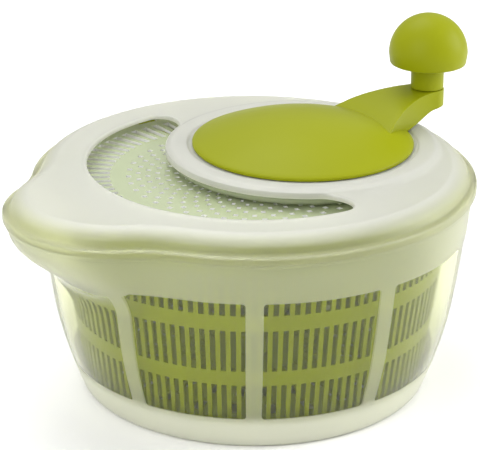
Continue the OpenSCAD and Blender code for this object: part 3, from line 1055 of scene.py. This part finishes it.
@dataclass
class Basket:
    """The slotted basket with its stepped rim, its driving dogs and its pivot boss.

    Attributes:
        pitches: Slots round the wall.
        slot: Angle that a slot takes.
        foot: Height of the basket's underside.
        wall: Thickness of the wall.
        foot_radius: Outer radius of the wall at the foot.
        slope: How much the radius grows for each millimetre of height.
        rib: How far the fine ribs of the upper wall stand out.
        dogs: Driving dogs round the rim.
        dog_radius: Radius that the dogs reach in to.
    """

    pitches: int = 120
    slot: float = math.radians(1.6)
    foot: float = 12.0
    wall: float = 1.8
    foot_radius: float = 104.5
    slope: float = 15.5 / 114.8
    rib: float = 0.55
    dogs: int = 8
    dog_radius: float = 115.0

    slot_rows = ((16.0, 41.3), (50.6, 77.0), (86.8, 113.2))
    floor_rows = ((30.0, 44.0), (52.0, 66.0), (74.0, 88.0))

    def radius(self, z: float) -> float:
        """Outer radius of the straight wall at height z."""
        return self.foot_radius + self.slope * (z - self.foot)

    def rows(self) -> tuple[np.ndarray, np.ndarray]:
        """The basket's profile from the floor's middle to the rim.

        Returns:
            Matching rows of radius and height, of the outer and of the inner face.
        """
        floor = [5.0, 15.0, *sum(self.floor_rows, ()), 96.0]
        outer = [(r, self.foot) for r in floor]
        inner = [(r, self.foot + self.wall) for r in floor]
        outer += [(100.6, 12.0), (102.8, 12.7), (104.2, 13.9)]
        inner += [(99.6, 13.8), (101.4, 14.1), (102.5, 14.9)]
        levels = [16.0, 28.0, 41.3, 46.0, 50.6, 64.0, 77.0, 82.0, 86.8, 100.0, 113.2, 114.4]
        outer += [(self.radius(z), z) for z in levels]
        inner += [(self.radius(z) - self.wall, z) for z in levels]
        outer += [(self.radius(z), z) for z in (118, 120.5, 123, 125, 126.6)]
        inner += [(117.4, 118), (117.3, 121), (112.0, 125.0), (112.0, 126.8), (118.2, 126.8)]
        outer += [(121.6, 127.4), (122.0, 128.0), (122.0, 129.6), (121.6, 130.0)]
        inner += [(118.2, 127.6), (118.2, 129.0), (118.2, 129.6), (118.6, 130.0)]
        return np.array(outer, float), np.array(inner, float)

    def surface(self) -> Surface:
        """The basket's wall and floor as one sheet with real slots.

        Columns alternate between the two sides of a slot. Every other column of the
        upper wall stands out a little, which makes the fine ribs there.

        Returns:
            The closed surface.
        """
        outer, inner = self.rows()
        turn = slot_columns(self.pitches, self.slot)
        columns = len(turn)
        out_r = np.broadcast_to(outer[:, 0], (columns, len(outer))).copy()
        in_r = np.broadcast_to(inner[:, 0], (columns, len(inner))).copy()
        ribbed = (outer[:, 1] > 113.5) & (outer[:, 1] < 126)
        out_r[::2, ribbed] += self.rib
        dogs = np.zeros(columns, bool)
        dogs[0 :: columns // self.dogs] = dogs[1 :: columns // self.dogs] = True
        tooth = (inner[:, 1] > 126.7) & (inner[:, 1] < 129.2) & (inner[:, 0] > 118)
        in_r[np.ix_(dogs, tooth)] = self.dog_radius
        holes = np.zeros((columns, len(outer) - 1), bool)
        middle = (outer[1:] + outer[:-1]) / 2
        for low, high in self.slot_rows:
            holes[0::2] |= (middle[:, 1] > low) & (middle[:, 1] < high)
        in_floor = middle[:, 1] < self.foot + 0.1
        for low, high in self.floor_rows:
            across = in_floor & (middle[:, 0] > low) & (middle[:, 0] < high)
            for k in range(3):
                holes[k::10] |= across
        faces = (polar(r, turn[:, None], z) for r, z in ((out_r, outer[:, 1]), (in_r, inner[:, 1])))
        return sheet(*faces, holes)

    def build(self) -> None:
        """Makes the basket."""
        boss = lathe(
            [(0, 22.2), (4.06, 22.2), (4.06, 12), (9, 12), (9, 24.2), (8.2, 25), (0, 25)],
            Loop.POLES,
            48,
        )
        made = piece("basket_cage", [self.surface(), boss], LIME_BASKET.material(), 30)
        settle(made, "basket", "lime_basket", "basket")


@dataclass
class DrivePlate:
    """The clear plate that turns the basket, pierced by slots and small square holes.

    Attributes:
        pitches: Slots round the plate.
        slot: Angle that a slot takes.
        low: Height of the underside.
        high: Height of the top.
        notches: Notches in the edge, one for each of the basket's dogs.
    """

    pitches: int = 80
    slot: float = math.radians(2.3)
    low: float = 126.8
    high: float = 128.8
    notches: int = 8

    rings = tuple((22.0 + 5.7 * k, 24.9 + 5.7 * k) for k in range(10))
    slots = (86.0, 107.0)
    notch = (114.2, 116.8)

    def surface(self) -> Surface:
        """The plate as one sheet: rings of cells are left open by their column's number.

        Returns:
            The closed surface.
        """
        rings = [*self.rings, self.slots, self.notch]
        radii = np.array([3.0, 9.0, *sum(rings, ())])
        turn = slot_columns(self.pitches, self.slot)
        top, under = (polar(radii, turn[:, None], z) for z in (self.high, self.low))
        holes = np.zeros((len(turn), len(radii) - 1), bool)
        middle = (radii[1:] + radii[:-1]) / 2

        def between(ring: tuple[float, float]) -> np.ndarray:
            """True for the rows of cells that lie in the ring."""
            return (middle > ring[0]) & (middle < ring[1])

        for k, ring in enumerate(self.rings):
            holes[2 * (k % 2) :: 4] |= between(ring)
        holes[0::2] |= between(self.slots)
        step = len(turn) // self.notches
        for k in (-1, 0, 1):
            holes[(np.arange(self.notches) * step + k) % len(turn)] |= between(self.notch)
        return sheet(top, under, holes)

    def build(self) -> None:
        """Makes the plate with its hub and its stiffening ring."""
        hub = lathe(
            [(3, 119), (8.4, 119), (9, 119.6), (9, 126.2), (10.5, 127), (10.5, 128), (3, 128)],
            Loop.RING,
            64,
        )
        rib = lathe(
            [
                (108.8, 123.1), (109.1, 122.8), (110.5, 122.8),
                (110.8, 123.1), (110.8, 127.4), (108.8, 127.4),
            ],
            Loop.RING,
            180,
        )
        made = piece("drive_plate_pierced", [self.surface(), hub, rib], TINTED_PLATE.material(), 30)
        settle(made, "drive", "tinted_clear", "drive_plate")


@dataclass
class GearPan:
    """The clear pan that closes the gear room under the lid's collar.

    Attributes:
        seat: Where the crank stands.
        low: Height of the pan's underside.
        top: Height of its wall's top.
        screws: Distance of the screw bosses from the crank's axis.
    """

    seat: CrankSeat
    low: float = 130.7
    top: float = 138.4
    screws: float = 74.0

    def build(self) -> None:
        """Makes the pan with a rounded foot edge, the crank's post and its bosses."""
        z, top = self.low, self.top
        pan = lathe(
            [
                (9.5, z), (60, z), (76.6, z), (78.6, z + 0.3), (80.1, z + 1.2), (80.8, z + 2.4),
                (81, z + 3.8), (81, top), (79.3, top), (79.2, z + 4.0), (78.8, z + 2.9),
                (77.9, z + 2.1), (76.4, z + 1.7), (60, z + 1.7), (13, z + 1.7), (12, z + 2.4),
                (12, 145.1), (11.6, 145.5), (7.06, 145.5), (7.06, 136.2), (9.5, 136.2),
            ],
            Loop.RING,
            180,
        ).moved(self.seat.x, 0)
        bush = lathe([(5, z + 0.2), (8, z + 0.2), (8, 133.2), (5, 133.2)], Loop.RING, 48)
        boss = lathe([(1.7, z + 0.2), (5, z + 0.2), (5, 133), (1.7, 133)], Loop.RING, 32)
        bosses = on_diagonals(boss, self.screws, self.seat.x)
        made = piece("gear_pan", [pan, bush, *bosses], TINTED_CLEAR.material(), 30)
        settle(made, "lid", "tinted_clear", "gear_housing")


@dataclass
class Crank:
    """The crank disc: a shallow dome with the arm moulded on.

    Attributes:
        seat: Where the crank stands and how it rests.
        radius: Radius of the disc.
        edge: Height of the dome at the disc's edge.
        crown: Height of the dome's middle.
        wall: Thickness of the dome.
        end_radius: Radius of the arm's rounded end.
        root: Distance from the crank's axis at which the arm starts.
        root_width: Half of the arm's width there.
        swell: How far the trailing side bulges.
        arm_fillet: Radius of the arm's rounded edges.
        screws: Distance of the ring gear's screw bosses from the crank's axis.
    """

    seat: CrankSeat
    radius: float = 66.9
    edge: float = 142.5
    crown: float = 157.2
    wall: float = 2.2
    end_radius: float = 10.6
    root: float = 42.0
    root_width: float = 31.0
    swell: float = 3.2
    arm_fillet: float = 0.8
    screws: float = 57.6

    # (distance from the crank's axis, height) of the arm's top and of its underside
    top_line = (
        (42, 148.0), (46, 150.2), (52, 153.3), (60, 156.2), (70, 158.7), (78, 160.1),
        (86, 160.8), (92, 161.0), (101.6, 161.0),
    )
    low_line = (
        (66.3, 141.3), (71, 142.3), (76.5, 143.8), (80.5, 145.5), (84.3, 147.3), (87, 148.5),
        (90, 149.3), (95, 149.8), (101.6, 149.8),
    )

    def dome(self, rho: np.ndarray, drop: float = 0.0) -> np.ndarray:
        """Height of the dome: its crown less a share of the rise that grows as rho squared."""
        return self.crown - drop - (self.crown - self.edge) * (rho / self.radius) ** 2

    def cap(self) -> Surface:
        """The hollow dome with a thin rounded edge.

        Returns:
            The closed surface, about the crank's axis.
        """
        out = [(r, float(self.dome(np.float64(r)))) for r in (0, *np.linspace(4, 66.2, 26))]
        lip = [(66.6, 142.45), (66.9, 142.0), (66.9, 140.9), (66.6, 140.5), (64.9, 140.5)]
        lip += [(64.6, 140.8)]
        under = (*np.linspace(64.0, 4, 20), 0)
        inner = [(r, float(self.dome(np.float64(r), self.wall))) for r in under]
        return lathe(out + lip + inner, Loop.POLES, 240)

    def arm_loft(self) -> Surface:
        """The arm: sections across it, each a box with rounded edges and a slight crown.

        The half width narrows as a power from the root to the end, and then follows the
        end's circle. The side that trails is swollen by a half sine. The height lines are
        interpolated, and under the disc each section reaches just below the dome.

        Returns:
            The closed surface, about the crank's axis with the arm along X.
        """
        arm = self.seat.arm
        along = np.concatenate([
            np.linspace(self.root, arm, 34),
            arm + self.end_radius * np.sin(np.linspace(0.06, math.pi / 2, 16)),
        ])
        share = np.clip((arm - along) / (arm - self.root), 0, 1)
        half = self.end_radius + (self.root_width - self.end_radius) * share**1.8
        past = np.clip(along - arm, 0, self.end_radius)
        tip = np.sqrt(np.maximum(self.end_radius**2 - past**2, 1e-4))
        half = np.where(past > 0, tip, half)
        top = np.interp(along, *np.array(self.top_line).T)
        low = np.interp(along, *np.array(self.low_line).T)
        inside = self.dome(np.hypot(along, half)) - 1.0
        low = np.where(along < 66.3, np.maximum(inside, 141.0), low)
        kernel = np.ones(3) / 3
        for line in (top, low):
            line[1:-1] = np.convolve(line, kernel, "valid")
        fillet = np.minimum(self.arm_fillet, half)
        swell = self.swell * np.sin(math.pi * share)
        quarter = np.linspace(0, math.pi / 2, 5)
        bow = np.linspace(-1, 1, 11)[1:-1]
        across, height = [], []
        for x, y in ((1, 1), (1, -1), (-1, -1), (-1, 1)):
            angle = quarter[::-1] if x == y else quarter
            side = half + swell * (x > 0)
            across += [x * (side - fillet + fillet * math.cos(q)) for q in angle]
            edge = top - fillet if y > 0 else low + fillet
            height += [edge + y * fillet * math.sin(q) for q in angle]
            if x < 0 and y > 0:
                across += [b * (half + swell * (b > 0) - fillet) for b in bow]
                crown = 0.25 * np.minimum(half / self.end_radius, 1.6)
                height += [top + crown * (1 - b * b) for b in bow]
        span = np.broadcast_to(along, (len(across), len(along)))
        points = np.stack([span, across, height], axis=-1).transpose(1, 0, 2)
        ends = [np.broadcast_to(points[k].mean(axis=0), points[k].shape)[None] for k in (0, -1)]
        return loft(np.concatenate([ends[0], points, ends[1]]), Loop.RING, ring=False)

    def build(self) -> None:
        """Makes the disc, its arm, its hub and the bosses for the ring gear."""
        hub = lathe(
            [
                (1.5, 136), (6.6, 136), (7, 136.4), (7, 145.7), (10.5, 145.7),
                (10.5, 150.7), (7, 151.2), (7, 156), (1.5, 156),
            ],
            Loop.RING,
            64,
        )
        boss = lathe([(1.5, 142.3), (3.4, 142.3), (3.4, 144.9), (1.5, 144.9)], Loop.RING, 24)
        parts = [self.cap(), self.arm_loft(), hub, *on_diagonals(boss, self.screws)]
        placed = [p.moved(0, 0, self.seat.rest).moved(self.seat.x, 0) for p in parts]
        made = piece("crank_moulding", placed, LIME_CRANK.material(), 32)
        settle(made, "crank", "lime_plastic", "crank_disc")


@dataclass
class Knob:
    """The round knob and the stem that turns on the arm's pin.

    Attributes:
        seat: Where the crank stands, which gives the pin's place.
        radius: Radius of the knob's round top.
        top: Height of its crown.
        base: Height of its flat underside.
        wall: Thickness of its shell.
    """

    seat: CrankSeat
    radius: float = 24.3
    top: float = 208.2
    base: float = 177.0
    wall: float = 2.0

    def build(self) -> None:
        """Makes the hollow dome and the stem, each turned from its own profile."""
        x = self.seat.x + self.seat.arm * math.cos(self.seat.rest)
        y = self.seat.arm * math.sin(self.seat.rest)
        base, top, wall = self.base, self.top, self.wall
        middle, inner = top - self.radius, self.radius - wall
        arc = np.linspace(0, math.pi / 2, 22)[:-1]
        skirt = [(9.2, base), (20.5, base), (22.6, base + 0.15), (23.3, base + 0.5)]
        skirt += [(23.6, base + 1.1), (24.0, base + 4.5)]
        out = [(self.radius * math.cos(a), middle + self.radius * math.sin(a)) for a in arc]
        back = [(inner * math.cos(a), middle + inner * math.sin(a)) for a in arc[::-1]]
        shelf = [(21.6, base + 3.4), (19.5, base + wall), (9.2, base + wall)]
        # up the outside to the crown, then down the inside to the stem's hole
        profile = skirt + out + [(0.0, top), (0.0, top - wall)] + back + shelf
        dome = lathe(profile, Loop.RING, 144)
        made = piece("knob_cap", [dome.moved(x, y)], LIME_CRANK.material(), 32)
        settle(made, "knob", "lime_plastic", "knob_dome")
        stem = lathe(
            [
                (3.1, 161.3), (9.7, 161.3), (10.1, 161.7), (10.2, 162.4), (10.2, 176.9),
                (9.2, 177.0), (9.2, 179.0), (13.2, 179.0), (13.2, 180.5), (6, 180.6),
                (6, 191.6), (5.6, 192), (3.1, 192),
            ],
            Loop.RING,
            96,
        ).moved(x, y)
        made = piece("knob_stem", [stem], LIME_CRANK.material(), 32)
        settle(made, "knob", "lime_plastic", "knob_sleeve")


# ----------------------------------------------------- nodes that stay CAD


def dress_nodes(nodes: dict[str, bpy.types.Object]) -> None:
    """Gives each CAD node that stays its own finish.

    Args:
        nodes: The CAD nodes by name.
    """
    groups = {
        STEEL: (
            "housing_screws", "ring_screws", "crank_washer", "crank_screw", "knob_pin",
            "knob_clip", "pinion_shaft", "shaft_clip", "plate_washer", "plate_nut",
        ),
        ACETAL: ("ring_gear", "pinion", "thrust_washer"),
        BRONZE: ("pinion_bush",),
    }
    for finish, names in groups.items():
        material = finish.material()
        for name in names:
            slots = nodes[name].data.materials
            slots.clear()
            slots.append(material)
            LOG.info("%s: %s", name, finish.name)


# ------------------------------------------------------------------- stage


@dataclass
class Studio:
    """Pale floor, soft light and the camera.

    Attributes:
        lens: Focal length in millimetres on a 36 mm sensor.
        place: The camera's position in metres.
        up: The camera's up direction.
        look: The direction it looks in.
        sky: Strength of the sky's light at the horizon and overhead.
        floor_size: Half of the floor's side in metres.
        floor_drop: How far the floor lies under the object, in metres.
    """

    lens: float = 161.72
    place: tuple[float, float, float] = (-0.7163, -0.9719, 0.5776)
    up: tuple[float, float, float] = (0.2149, 0.3022, 0.9287)
    look: tuple[float, float, float] = (0.5459, 0.7514, -0.3708)
    sky: tuple[float, float] = (0.42, 0.95)
    floor_size: float = 14.0
    floor_drop: float = 0.0003

    def camera(self) -> None:
        """Adds the camera, its axes made square to each other."""
        data = bpy.data.cameras.new("camera")
        data.lens, data.sensor_width = self.lens, 36.0
        data.clip_start, data.clip_end = 0.05, 60.0
        made = bpy.data.objects.new("camera", data)
        bpy.context.scene.collection.objects.link(made)
        back = -Vector(self.look).normalized()
        right = Vector(self.up).cross(back).normalized()
        up = back.cross(right)
        turn = Matrix((right, up, back)).transposed().to_4x4()
        made.matrix_world = Matrix.Translation(self.place) @ turn
        bpy.context.scene.camera = made

    def floor(self) -> None:
        """Adds a wide pale floor."""
        mesh = bpy.data.meshes.new("floor")
        corners = np.array([(-1, -1), (1, -1), (1, 1), (-1, 1)]) * self.floor_size
        mesh.from_pydata([(x, y, -self.floor_drop) for x, y in corners], [], [(0, 1, 2, 3)])
        pale = bpy.data.materials.new("floor_paper")
        pale.use_nodes = True
        shader = pale.node_tree.nodes["Principled BSDF"]
        shader.inputs["Base Color"].default_value = linear("#ffffff")
        shader.inputs["Roughness"].default_value = 0.9
        mesh.materials.append(pale)
        made = bpy.data.objects.new("floor", mesh)
        bpy.context.scene.collection.objects.link(made)

    def softbox(
        self, name: str, place: tuple[float, float, float], size: float, power: float
    ) -> None:
        """Adds a square area light that faces the middle of the object.

        Args:
            name: The light's name.
            place: Its position in metres.
            size: Its side in metres.
            power: Its power in watts.
        """
        data = bpy.data.lights.new(name, "AREA")
        data.shape, data.size, data.energy = "SQUARE", size, power
        made = bpy.data.objects.new(name, data)
        made.location = place
        aim = Vector((0, 0, 0.1)) - Vector(place)
        made.rotation_euler = aim.to_track_quat("-Z", "Y").to_euler()
        bpy.context.scene.collection.objects.link(made)

    def build(self) -> None:
        """Sets up the view, the floor, the sky and the lights."""
        scene = bpy.context.scene
        scene.view_settings.view_transform = "Standard"
        world = bpy.data.worlds.new("studio")
        world.use_nodes = True
        tree = world.node_tree
        way = add_node(tree, "ShaderNodeTexCoord").outputs["Generated"]
        rise = add_node(tree, "ShaderNodeSeparateXYZ", {0: way}).outputs["Z"]
        ends = {"Value": rise, "To Min": self.sky[0], "To Max": self.sky[1]}
        glow = add_node(tree, "ShaderNodeMapRange", ends)
        sky = tree.nodes["Background"]
        sky.inputs["Color"].default_value = linear("#ffffff")
        tree.links.new(glow.outputs["Result"], sky.inputs["Strength"])
        scene.world = world
        self.camera()
        self.floor()
        self.softbox("softbox_left", (-1.5, -0.5, 1.0), 1.3, 14)
        self.softbox("softbox_right", (1.5, -0.9, 0.75), 1.2, 24)
        self.softbox("softbox_top", (0.1, 0.9, 2.0), 1.4, 18)


def main() -> None:
    """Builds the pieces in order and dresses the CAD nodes."""
    spout, seat = Spout(), CrankSeat()
    Studio().build()
    lid_parts = (Lid(spout, seat), Basket(), DrivePlate(), GearPan(seat))
    for part in (Bowl(spout), *lid_parts, Crank(seat), Knob(seat)):
        part.build()
        LOG.info("built %s", type(part).__name__)
    dress_nodes(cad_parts)


if __name__ == "__main__":
    logging.basicConfig(level=logging.INFO)
    main()
